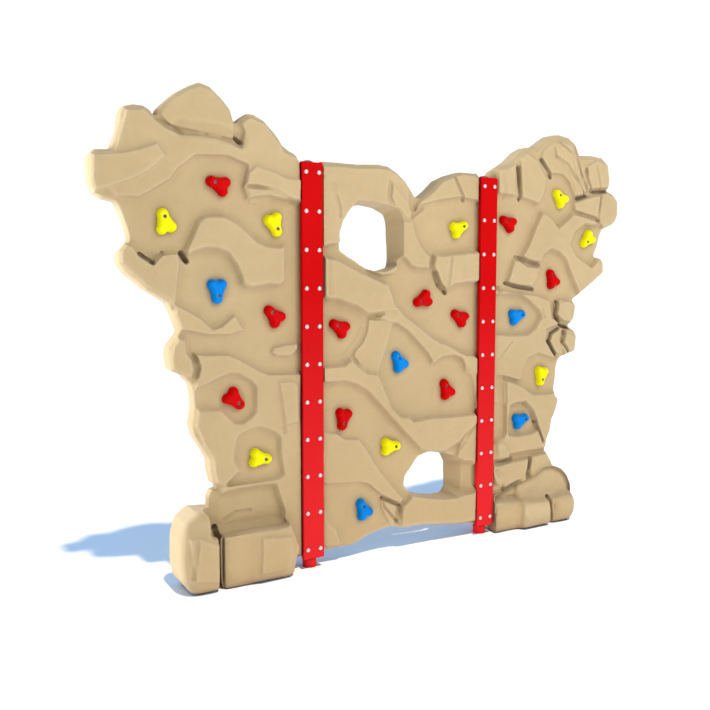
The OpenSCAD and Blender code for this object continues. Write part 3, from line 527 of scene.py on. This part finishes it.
# Grooves and cracks: width, depth, line
GROOVES = [
    # foot of the crown dome
    (0.085, 0.013, [(-1.28, 2.27), (-1.10, 2.27), (-0.98, 2.24)]),
    # crack at the end of the crown dome
    (0.015, 0.030, [(-1.00, 2.25), (-0.97, 2.23)]),
    # left shoulder of the dome
    (0.016, 0.007, [(-1.39, 2.30), (-1.27, 2.25)]),
    # under the slab beside the left seam
    (0.016, 0.006, [(-0.95, 2.02), (-0.80, 2.01), (-0.69, 1.95)]),
    # crack between shelf and heart plate
    (0.018, 0.045, [(-1.29, 1.68), (-1.26, 1.64)]),
    # notch in the shelf
    (0.018, 0.030, [(-1.49, 1.67), (-1.43, 1.63)]),
    (0.012, 0.015, [(-1.43, 1.63), (-1.38, 1.68)]),
    # beside the pointed block
    (0.020, 0.009, [(-1.24, 1.19), (-1.21, 1.13), (-1.22, 1.08)]),
    # beside the long stone
    (0.020, 0.007, [(-0.79, 1.02), (-0.75, 0.76)]),
    # over the large boulder
    (0.020, 0.007, [(-1.08, 0.33), (-1.02, 0.36), (-0.94, 0.36)]),
    # facet of the left boulder
    (0.024, 0.007, [(-1.27, 0.28), (-1.29, 0.10)]),
    # crease in the opening frame
    (0.020, 0.007, [(-0.47, 2.07), (-0.42, 1.94), (-0.42, 1.89)]),
    # crease right of the opening
    (0.024, 0.007, [(-0.10, 2.09), (-0.11, 2.01), (-0.07, 1.93)]),
    # fold where the frames meet
    (0.020, 0.007, [(-0.01, 1.89), (0.03, 1.89), (0.13, 1.96)]),
    # split in the upper right frame
    (0.016, 0.012, [(0.35, 2.14), (0.42, 2.02)]),
    # crack under the block
    (0.016, 0.027, [(0.21, 1.60), (0.24, 1.53), (0.30, 1.48)]),
    # facet of the block
    (0.020, 0.007, [(0.32, 1.69), (0.30, 1.53)]),
    # facet of the slab
    (0.018, 0.006, [(-0.49, 1.68), (-0.49, 1.48)]),
    # slanted joint by the right seam
    (0.016, 0.007, [(0.50, 0.67), (0.41, 0.55)]),
    # round the cracked stone
    (0.014, 0.011, [(-0.14, 0.32), (-0.13, 0.27), (-0.03, 0.16)]),
    (0.014, 0.011, [(-0.14, 0.32), (-0.02, 0.26)]),
    (0.020, 0.012, [(-0.02, 0.26), (-0.02, 0.15)]),
    # band by the right seam
    (0.026, 0.009, [(0.71, 2.18), (0.73, 2.06)]),
    # between the first crown blocks
    (0.016, 0.026, [(0.83, 2.24), (0.85, 2.05)]),
    # slanted crack on the crown
    (0.018, 0.026, [(1.02, 2.30), (1.11, 2.20)]),
    # folds of the fan
    (0.013, 0.008, [(1.12, 2.38), (1.13, 2.33), (1.23, 2.29), (1.32, 2.19), (1.40, 2.11)]),
    (0.013, 0.008, [(1.15, 2.42), (1.26, 2.36), (1.33, 2.30), (1.38, 2.22), (1.42, 2.13)]),
    (0.012, 0.008, [(1.30, 2.43), (1.34, 2.32), (1.38, 2.22)]),
    # beside the upper right block
    (0.016, 0.013, [(1.41, 2.27), (1.42, 2.21), (1.46, 2.13)]),
    # cracks over the arm
    (0.015, 0.030, [(1.34, 2.08), (1.42, 2.10)]),
    (0.015, 0.030, [(1.48, 2.13), (1.60, 2.14)]),
    # facet of the upper right block
    (0.020, 0.007, [(1.50, 2.29), (1.54, 2.15)]),
    # step in the arm
    (0.024, 0.013, [(1.54, 2.10), (1.52, 1.95)]),
    # over the right block
    (0.016, 0.014, [(0.83, 1.70), (0.90, 1.68), (1.03, 1.65)]),
    # crack under the right block
    (0.015, 0.030, [(0.75, 1.54), (0.83, 1.52), (0.98, 1.50)]),
    # pit by the right seam
    (0.020, 0.021, [(0.70, 1.51), (0.70, 1.49)]),
    # corner of the long pocket
    (0.030, 0.006, [(1.05, 1.37), (1.07, 1.33)]),
    # fold under the long pocket
    (0.014, 0.006, [(0.80, 1.18), (0.70, 1.08)]),
    # crack of the upper stone
    (0.016, 0.036, [(1.17, 1.42), (1.16, 1.34), (1.21, 1.27), (1.28, 1.25)]),
    # crack and fold of the lower stone
    (0.016, 0.036, [(1.19, 1.25), (1.13, 1.22), (1.11, 1.17), (1.17, 1.08)]),
    (0.014, 0.018, [(1.24, 1.23), (1.22, 1.16), (1.27, 1.10)]),
    # left of the lower plate
    (0.016, 0.009, [(0.75, 0.95), (0.76, 0.80)]),
    # step beside the lower blue hold and the crack below it
    (0.026, 0.015, [(0.91, 0.79), (0.97, 0.74), (1.01, 0.66)]),
    (0.014, 0.024, [(1.01, 0.66), (1.07, 0.53)]),
    # under the small brick
    (0.022, 0.015, [(0.69, 0.42), (0.82, 0.44)]),
    # left and right of the large brick
    (0.018, 0.010, [(0.68, 0.39), (0.75, 0.25)]),
    (0.022, 0.014, [(0.97, 0.43), (0.93, 0.31)]),
    # under the bricks
    (0.030, 0.007, [(0.75, 0.25), (0.88, 0.29)]),
    # between the right boulders
    (0.030, 0.040, [(1.09, 0.17), (1.10, 0.00)]),
    # over the right boulders
    (0.026, 0.012, [(0.78, 0.20), (0.96, 0.18), (1.10, 0.17), (1.20, 0.19), (1.30, 0.18)]),
    # gap between the left boulders
    (0.022, 0.050, [(GAP_X, 0.30), (GAP_X, 0.10), (-1.13, 0.00)]),
]

# Masses of the boulders, shaped before their edges are worn: height, bevel, outline
MASSES = [
    # dome behind the right boulders
    (-0.050, 0.035, [
        (0.60, 0.20), (0.87, 0.18), (1.10, 0.17), (1.20, 0.18), (1.40, 0.17), (1.40, 0.45),
        (0.60, 0.45)
    ]),
    # low end of the right boulders, beside the seam
    (-0.020, 0.030, [(0.60, 0.30), (0.86, 0.30), (0.84, -0.05), (0.60, -0.05)]),
    # face of the large boulder, behind its ledge
    (-0.012, 0.040, [(-1.16, 0.42), (-0.66, 0.42), (-0.66, -0.04), (-1.16, -0.04)]),
    # left flank of the large boulder
    (-0.012, 0.030, [(-1.13, 0.42), (-0.99, 0.42), (-0.95, 0.25), (-0.97, 0.00), (-1.13, 0.00)]),
    # shoulder of the left boulder
    (-0.014, 0.030, [(-1.40, 0.31), (-1.10, 0.29), (-1.10, 0.45), (-1.40, 0.45)]),
]

# Low steps: height, bevel, outline
STEPS = [
    # low step of the slab
    (0.007, 0.009, [(-0.95, 2.01), (-0.83, 2.01), (-0.70, 1.95), (-0.80, 1.96), (-0.93, 1.93)]),
    # ledge of the left boulder
    (0.010, 0.014, [(-1.31, 0.30), (-1.25, 0.30), (-1.13, 0.24), (-1.15, 0.05), (-1.28, 0.08)]),
    # shoulder of the opening
    (0.008, 0.012, [(-0.09, 2.09), (0.07, 1.93), (0.00, 1.90), (-0.10, 2.00)]),
    # middle of the fan
    (0.005, 0.008, [
        (1.12, 2.38), (1.18, 2.40), (1.26, 2.36), (1.33, 2.30), (1.38, 2.22), (1.42, 2.13),
        (1.40, 2.11), (1.32, 2.19), (1.23, 2.29), (1.13, 2.33)
    ]),
    # upper and lower stone
    (0.009, 0.014, [(1.17, 1.41), (1.26, 1.44), (1.30, 1.41), (1.27, 1.26), (1.16, 1.34)]),
    (0.009, 0.012, [(1.24, 1.23), (1.33, 1.20), (1.33, 1.13), (1.27, 1.10), (1.22, 1.17)]),
    # small brick
    (0.009, 0.009, [(0.68, 0.55), (0.73, 0.56), (0.82, 0.44), (0.70, 0.43)]),
    # block in front of the right boulders
    (0.022, 0.022, [(0.85, 0.20), (1.07, 0.18), (1.08, 0.00), (0.84, 0.00)]),
    # ledge of the large boulder
    (0.011, 0.012, [
        (-0.93, 0.25), (-0.75, 0.23), (-0.73, 0.12), (-0.76, 0.06), (-0.94, 0.05), (-0.93, 0.17)
    ]),
    # end of the arm, set back
    (-0.008, 0.012, [
        (1.54, 2.11), (1.70, 2.14), (1.74, 2.07), (1.74, 1.92), (1.55, 1.90), (1.52, 2.03)
    ]),
]


def lattice_noise(places, cell, seed):
    """Smooth noise from 0 to 1 with features about one cell wide; large primes scatter it."""
    spots = places / cell + 1000.0
    corner = np.floor(spots).astype(np.int64)
    share = spots - corner
    share = share * share * (3.0 - 2.0 * share)
    total = np.zeros(len(places))
    for dx in (0, 1):
        for dy in (0, 1):
            for dz in (0, 1):
                key = (
                    (corner[:, 0] + dx) * 73856093
                    ^ (corner[:, 1] + dy) * 19349663
                    ^ (corner[:, 2] + dz) * 83492791
                    ^ seed * 2654435761
                )
                key = (key ^ (key >> 13)) * 1274126177 & 0xFFFFFFFF
                value = ((key ^ (key >> 16)) & 0xFFFF) / 65535.0
                weight = (
                    (share[:, 0] if dx else 1.0 - share[:, 0])
                    * (share[:, 1] if dy else 1.0 - share[:, 1])
                    * (share[:, 2] if dz else 1.0 - share[:, 2])
                )
                total += weight * value
    return total


def inside_outline(x, z, outline):
    """True for the points (x, z) inside a closed outline."""
    inside = np.zeros(len(x), bool)
    for (ax, az), (bx, bz) in zip(outline, outline[1:] + outline[:1]):
        if az != bz:
            crosses = (az > z) != (bz > z)
            inside ^= crosses & (x < (bx - ax) * (z - az) / (bz - az) + ax)
    return inside


def near_points(x, z, line, margin):
    """The points (x, z) in the box round a line, with a margin."""
    lows, highs = np.min(line, 0) - margin, np.max(line, 0) + margin
    return np.flatnonzero((x > lows[0]) & (x < highs[0]) & (z > lows[1]) & (z < highs[1]))


def front_share(places, normals):
    """1 on the climbing face, 0 on the flanks and the back."""
    return smooth_step(-normals[:, 1], 0.2, 0.6) * (places[:, 1] < 0.02)


def stepped(places, normals, steps):
    """How far the front of the panel is pushed back by the steps, negative where it is raised."""
    x, z = places[:, 0] - SITE_X, places[:, 2]
    front = front_share(places, normals)
    push = np.zeros(len(places))
    for height, bevel, outline in steps:
        near = near_points(x, z, outline, bevel)
        if len(near):
            gap = distance_to_line(x[near], z[near], outline + outline[:1])
            gap = np.where(inside_outline(x[near], z[near], outline), gap, -gap)
            push[near] -= height * smooth_step(gap, -0.3 * bevel, 0.7 * bevel) * front[near]
    return push


def grooved(places, normals, grooves):
    """How far the front of the panel is pushed back by the grooves."""
    x, z = places[:, 0] - SITE_X, places[:, 2]
    front = front_share(places, normals)
    push = np.zeros(len(places))
    for width, depth, line in grooves:
        near = near_points(x, z, line, width)
        if len(near):
            gap = distance_to_line(x[near], z[near], line)
            profile = 1.0 - smooth_step(gap, 0.12 * width, 0.62 * width)
            push[near] += depth * profile * front[near]
    return push


def weathered(places, normals, seats):
    """The uneven finish of a cast panel; the seats of the holds and the seams stay true."""
    back = smooth_step(normals[:, 1], 0.3, 0.8)
    uneven = sum(
        (height + more * back) * lattice_noise(places, cell, seed)
        for cell, height, more, seed in UNEVEN
    )
    for seat in seats:
        uneven *= smooth_step(np.linalg.norm(places - seat, axis=1), *SEAT_RADII)
    for post in POST_X:
        uneven *= 1.0 - 0.75 * back * (1.0 - smooth_step(np.abs(places[:, 0] - post), 0.07, 0.16))
    return places - normals * uneven[:, None]


def meet_covers(places):
    """Draws the relief of the front towards the seam covers, so that the plates run up to them."""
    places = places.copy()
    raised = smooth_step(-places[:, 1], 0.0, 0.010)
    for post in POST_X:
        side = places[:, 0] - post
        share = (np.abs(side) - COVER_HALF) / (SEAM_REACH - COVER_HALF)
        near = np.flatnonzero((share > 0.0) & (share < 1.0) & (raised > 0.0))
        target = COVER_HALF + (SEAM_REACH - COVER_HALF) * share[near] ** SEAM_POWER
        move = np.sign(side[near]) * target - side[near]
        places[near, 0] += raised[near] * move
    return places


def round_boulders(places, edges):
    """Boulders as worn lumps: the two on the left close up, and all their edges rounded."""
    x, y, z = places[:, 0] - SITE_X, places[:, 1], places[:, 2]
    raised = smooth_step(-y, 0.05, 0.08) * smooth_step(BOULDER_TOP - z, 0.0, 0.06)
    side = x - GAP_X
    away = np.abs(side) / GAP_REACH
    near = np.flatnonzero((away < 1.0) & (raised > 0.0))
    closer = np.sign(side[near]) * away[near] ** GAP_POWER * GAP_REACH
    places = places.copy()
    places[near, 0] += raised[near] * (closer - side[near])
    boulders = np.flatnonzero((y < -0.055) & (z < BOULDER_TOP) & (np.abs(x) > 0.70))
    return smoothed_where(places, edges, boulders, WEAR_ROUNDS)


# ---------------------------------------------------------------- rock panels

# Bores of the CAD panels, in metres: the radii are a little over the real ones
DRAIN_X = {"left_panel": -1.000, "centre_panel": -0.100, "right_panel": 1.000}
DRAIN_Y = 0.030
DRAIN_RADIUS = 0.0102
SOCKET_RADIUS = 0.0082
SOCKET_END = 0.02


def outer_shell(node):
    """The outer surface of a hollow CAD panel: its bores closed and its inner skin left out."""
    bm = welded(nodes[node].data)
    sockets = [(centre[0], centre[2]) for centre in solid_centres(nodes["hold_inserts"].data)]
    drain_x = DRAIN_X[node] + SITE_X
    bores = []
    for face in bm.faces:
        points = [v.co for v in face.verts]
        in_drain = abs(face.normal.z) < 0.5 and all(
            math.hypot(p.x - drain_x, p.y - DRAIN_Y) < DRAIN_RADIUS for p in points
        )
        in_socket = any(
            all(math.hypot(p.x - x, p.z - z) < SOCKET_RADIUS and p.y < SOCKET_END for p in points)
            for x, z in sockets
        )
        if in_drain or in_socket:
            bores.append(face)
    bmesh.ops.delete(bm, geom=bores, context="FACES")

    def box_volume(group):
        places = np.array([v.co for face in group for v in face.verts])
        return np.prod(places.max(0) - places.min(0))

    shells = grouped(bm.faces, lambda face: [f for edge in face.edges for f in edge.link_faces])
    shells.sort(key=box_volume, reverse=True)
    bmesh.ops.delete(bm, geom=[face for shell in shells[1:] for face in shell], context="FACES")
    open_edges = [edge for edge in bm.edges if edge.is_boundary]
    bmesh.ops.holes_fill(bm, edges=open_edges, sides=0)
    bmesh.ops.triangulate(bm, faces=bm.faces)
    bmesh.ops.recalc_face_normals(bm, faces=bm.faces)
    mesh = bpy.data.meshes.new(node + "_shell")
    bm.to_mesh(mesh)
    bm.free()
    return mesh


def remeshed(mesh):
    """The mesh rebuilt on an even grid."""
    holder = add_object("holder", mesh)
    modifier = holder.modifiers.new("even", "REMESH")
    modifier.mode = "VOXEL"
    modifier.voxel_size = VOXEL
    modifier.adaptivity = 0.0
    return applied(holder)


def thinned(mesh):
    """The mesh with fewer triangles; flat areas lose theirs first."""
    holder = add_object("holder", mesh)
    modifier = holder.modifiers.new("thin", "DECIMATE")
    modifier.ratio = min(1.0, MOST_TRIANGLES / (2 * len(mesh.polygons)))
    modifier.use_collapse_triangulate = True
    return applied(holder)


def hold_boxes():
    """The centre and the lowest corner of the box of every hold."""
    for node in holds:
        low, high = (np.array(corner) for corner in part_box(node))
        yield (low + high) / 2, low


def rock_panel(node, material, seats):
    """A CAD panel as cast rock: rounded, cracked and uneven, and still inside its box."""
    shell = outer_shell(node)
    mesh = remeshed(shell)
    bpy.data.meshes.remove(shell)
    edges = edge_array(mesh)
    places = smoothed(vertex_array(mesh), edges, 2)
    set_vertices(mesh, places)
    in_boulders = smooth_step(-places[:, 1], *BOULDER_DEPTH)
    places[:, 1] += stepped(places, normal_array(mesh), MASSES) * in_boulders
    places = round_boulders(meet_covers(places), edges)
    set_vertices(mesh, places)
    normals = normal_array(mesh)
    places[:, 1] += stepped(places, normals, STEPS) + grooved(places, normals, GROOVES)
    set_vertices(mesh, places)
    places = weathered(places, normal_array(mesh), seats)
    places = smoothed(places, edges, 1, 0.35)
    lows, highs = (np.array(corner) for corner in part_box(node))
    set_vertices(mesh, np.clip(places, lows + CLEAR, highs - CLEAR))
    mesh = thinned(mesh)
    mesh.name = node + "_rock"
    paint(mesh, material)
    smooth_shaded(mesh)
    piece = add_object(node + "_rock", mesh)
    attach(piece, "root")
    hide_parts(node)
    return piece


# ---------------------------------------------------------------- climbing holds

BOLT_OFFSET = 0.030  # from the middle of a hold to its bolt, along the long lobe
SHORT_LOBES = (math.radians(136), math.radians(224))
HOLD_LOBES = ((0.0, 0.046), *((turn, 0.036) for turn in SHORT_LOBES))  # turn and reach of a swell
HOLD_FOOT = -0.002  # lowest level of a hold, let into the rock
HOLD_SPAN = 0.09  # more than the reach of any lobe
HOLD_SPOKES, HOLD_RINGS = 144, 40
HOLD_BORES = ((0.0095, 0.018), (0.0055, -0.01))  # radius and lowest level: bolt head, shank


def capsule(x, z, turn, reach, radius_in, radius_out):
    """Distance of (x, z) to a tapering lobe that starts at the middle of the hold."""
    along = np.clip((x * math.cos(turn) + z * math.sin(turn)) / reach, 0.0, 1.0)
    px, pz = along * reach * math.cos(turn), along * reach * math.sin(turn)
    return np.hypot(x - px, z - pz) - (radius_in + (radius_out - radius_in) * along)


def soft_min(a, b, blend):
    """The smaller of two distances, rounded where they meet."""
    mixing = np.clip(0.5 + 0.5 * (b - a) / blend, 0.0, 1.0)
    return b + (a - b) * mixing - blend * mixing * (1.0 - mixing)


def hold_outline(x, z):
    """Below 0 inside the three-lobed outline of a hold."""
    shape = capsule(x, z, 0.0, 0.044, 0.030, 0.0275)
    for turn in SHORT_LOBES:
        shape = soft_min(shape, capsule(x, z, turn, 0.034, 0.030, 0.0265), 0.014)
    return shape


def hold_height(x, z):
    """Height of the top surface: flanks that curve over into a swell on each lobe."""
    inside = np.maximum(-hold_outline(x, z), 0.0)
    flank = np.sqrt(1.0 - (1.0 - np.clip(inside / 0.019, 0.0, 1.0)) ** 2.2)
    height = 0.033 + 0.005 * np.exp(-(x ** 2 + z ** 2) / 0.026 ** 2)
    for turn, reach in HOLD_LOBES:
        bump = np.hypot(x - reach * math.cos(turn), z - reach * math.sin(turn))
        height = height + 0.004 * np.exp(-(bump / 0.017) ** 2)
    dish = np.hypot(x - BOLT_OFFSET, z)
    height = height - 0.002 * np.exp(-(dish / 0.013) ** 2)
    return 0.002 + height * flank


def outline_radius(angles):
    """Distance from the middle of a hold to its outline, found by halving."""
    low, high = np.zeros(len(angles)), np.full(len(angles), HOLD_SPAN)
    for _ in range(40):
        middle = (low + high) / 2
        inside = hold_outline(middle * np.cos(angles), middle * np.sin(angles)) < 0
        low, high = np.where(inside, middle, low), np.where(inside, high, middle)
    return (low + high) / 2


def hold_mesh():
    """One climbing hold with its middle at the origin, its long lobe along X and its top up Z."""
    spokes, rings = HOLD_SPOKES, HOLD_RINGS
    angles = np.arange(spokes) * 2 * math.pi / spokes
    edge = outline_radius(angles)
    share = 1.0 - (1.0 - np.arange(1, rings + 1) / rings) ** 1.6
    vertices = [(0.0, 0.0, float(hold_height(np.array(0.0), np.array(0.0))))]
    for s in share:
        x, z = s * edge * np.cos(angles), s * edge * np.sin(angles)
        vertices += list(zip(x, z, hold_height(x, z)))
    foot = np.full(spokes, HOLD_FOOT)
    vertices += list(zip(edge * np.cos(angles), edge * np.sin(angles), foot))
    vertices.append((0.0, 0.0, HOLD_FOOT))
    faces = [(0, 1 + i, 1 + (i + 1) % spokes) for i in range(spokes)]
    for ring in range(rings):
        first, second = 1 + ring * spokes, 1 + (ring + 1) * spokes
        faces += [
            (first + i, second + i, second + (i + 1) % spokes, first + (i + 1) % spokes)
            for i in range(spokes)
        ]
    last, bottom = 1 + rings * spokes, 1 + (rings + 1) * spokes
    faces += [(last + (i + 1) % spokes, last + i, bottom) for i in range(spokes)]
    mesh = bpy.data.meshes.new("hold")
    mesh.from_pydata([tuple(float(c) for c in v) for v in vertices], [], faces)
    bm = bmesh.new()
    bm.from_mesh(mesh)
    bmesh.ops.recalc_face_normals(bm, faces=bm.faces)
    bm.to_mesh(mesh)
    bm.free()
    return drilled(mesh)


def drilled(mesh):
    """The mesh of a hold with the bores for its bolt."""
    holder = add_object("holder", mesh)
    cutters = []
    for radius, bottom in HOLD_BORES:
        bm = bmesh.new()
        bmesh.ops.create_cone(
            bm, cap_ends=True, segments=40, radius1=radius, radius2=radius, depth=0.1,
            matrix=Matrix.Translation((BOLT_OFFSET, 0.0, bottom + 0.05)),
        )
        cutter_mesh = bpy.data.meshes.new("cutter")
        bm.to_mesh(cutter_mesh)
        bm.free()
        cutter = add_object("cutter", cutter_mesh)
        cutters.append(cutter)
        modifier = holder.modifiers.new("bore", "BOOLEAN")
        modifier.operation = "DIFFERENCE"
        modifier.solver = "EXACT"
        modifier.object = cutter
    made = applied(holder)
    for cutter in cutters:
        bpy.data.objects.remove(cutter)
    smooth_shaded(made)
    made.set_sharp_from_angle(angle=math.radians(45))
    return made


def volume_centre(mesh):
    """Centre of the volume of a closed mesh."""
    total = 0.0
    moment = Vector((0.0, 0.0, 0.0))
    for polygon in mesh.polygons:
        corners = [mesh.vertices[i].co for i in polygon.vertices]
        for b, c in zip(corners[1:-1], corners[2:]):
            part = corners[0].dot(b.cross(c))
            total += part
            moment += part * (corners[0] + b + c) / 4.0
    return moment / total


def place_hold(node, shape, bolt_places, material):
    """A hold where the CAD one is, turned as that one is."""
    _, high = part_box(node)
    centre = volume_centre(nodes[node].data)
    bolt = min(bolt_places, key=lambda p: math.hypot(p[0] - centre.x, p[2] - centre.z))
    turn = math.atan2(bolt[2] - centre.z, bolt[0] - centre.x)
    middle = Vector((
        bolt[0] - BOLT_OFFSET * math.cos(turn), high.y, bolt[2] - BOLT_OFFSET * math.sin(turn)
    ))
    mesh = shape.copy()
    stand = Matrix.Rotation(math.radians(90), 4, "X") @ Matrix.Rotation(turn, 4, "Z")
    mesh.transform(Matrix.Translation(middle) @ stand)
    paint(mesh, material)
    piece = add_object(node.replace("hold_", "grip_"), mesh)
    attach(piece, "root")
    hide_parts(node)


# ---------------------------------------------------------------- floor

FLOOR_HALF = 40.0  # metres


def make_floor():
    half = FLOOR_HALF
    mesh = bpy.data.meshes.new("floor")
    corners = [(-half, -half, 0), (half, -half, 0), (half, half, 0), (-half, half, 0)]
    mesh.from_pydata(corners, [], [(0, 1, 2, 3)])
    mesh.materials.append(floor_material())
    return add_object("floor", mesh)


# ---------------------------------------------------------------- assembly

make_camera()

rock = rock_material()
red_coat = powder_coat_material()
bolts = bolt_material()
hold_colours = {
    "red": hold_material(
        "red_resin", (0.66, 0.0006, 0.001), (0.56, 0.0004, 0.001), (0.74, 0.04, 0.03)
    ),
    "yellow": hold_material(
        "yellow_resin", (0.94, 0.89, 0.005), (0.88, 0.80, 0.004), (0.95, 0.92, 0.12)
    ),
    "blue": hold_material(
        "blue_resin", (0.002, 0.27, 0.80), (0.002, 0.20, 0.66), (0.08, 0.42, 0.85)
    ),
}

seats = [np.array((centre[0], low[1] + SEAT_DEPTH, centre[2])) for centre, low in hold_boxes()]
panels = {
    node: rock_panel(node, rock, seats)
    for node in ("left_panel", "centre_panel", "right_panel")
}

for side in ("left", "right"):
    for part in ("post", "post_foot", "front_channel", "back_channel"):
        paint(nodes[f"{side}_{part}"].data, red_coat)
    for part in ("seam_bolts", "seam_washers", "seam_nuts"):
        paint(nodes[f"{side}_{part}"].data, bolts)
    paint(nodes[f"{side}_post_cap"].data, cap_material())
paint(nodes["hold_bolts"].data, hold_bolt_material())
paint(nodes["hold_inserts"].data, brass_material())

hold_shape = hold_mesh()
bolt_places = solid_centres(nodes["hold_bolts"].data)
for node in holds:
    place_hold(node, hold_shape, bolt_places, hold_colours[node.split("_")[-1]])

floor = make_floor()
make_lights(floor, panels["centre_panel"])
make_world()
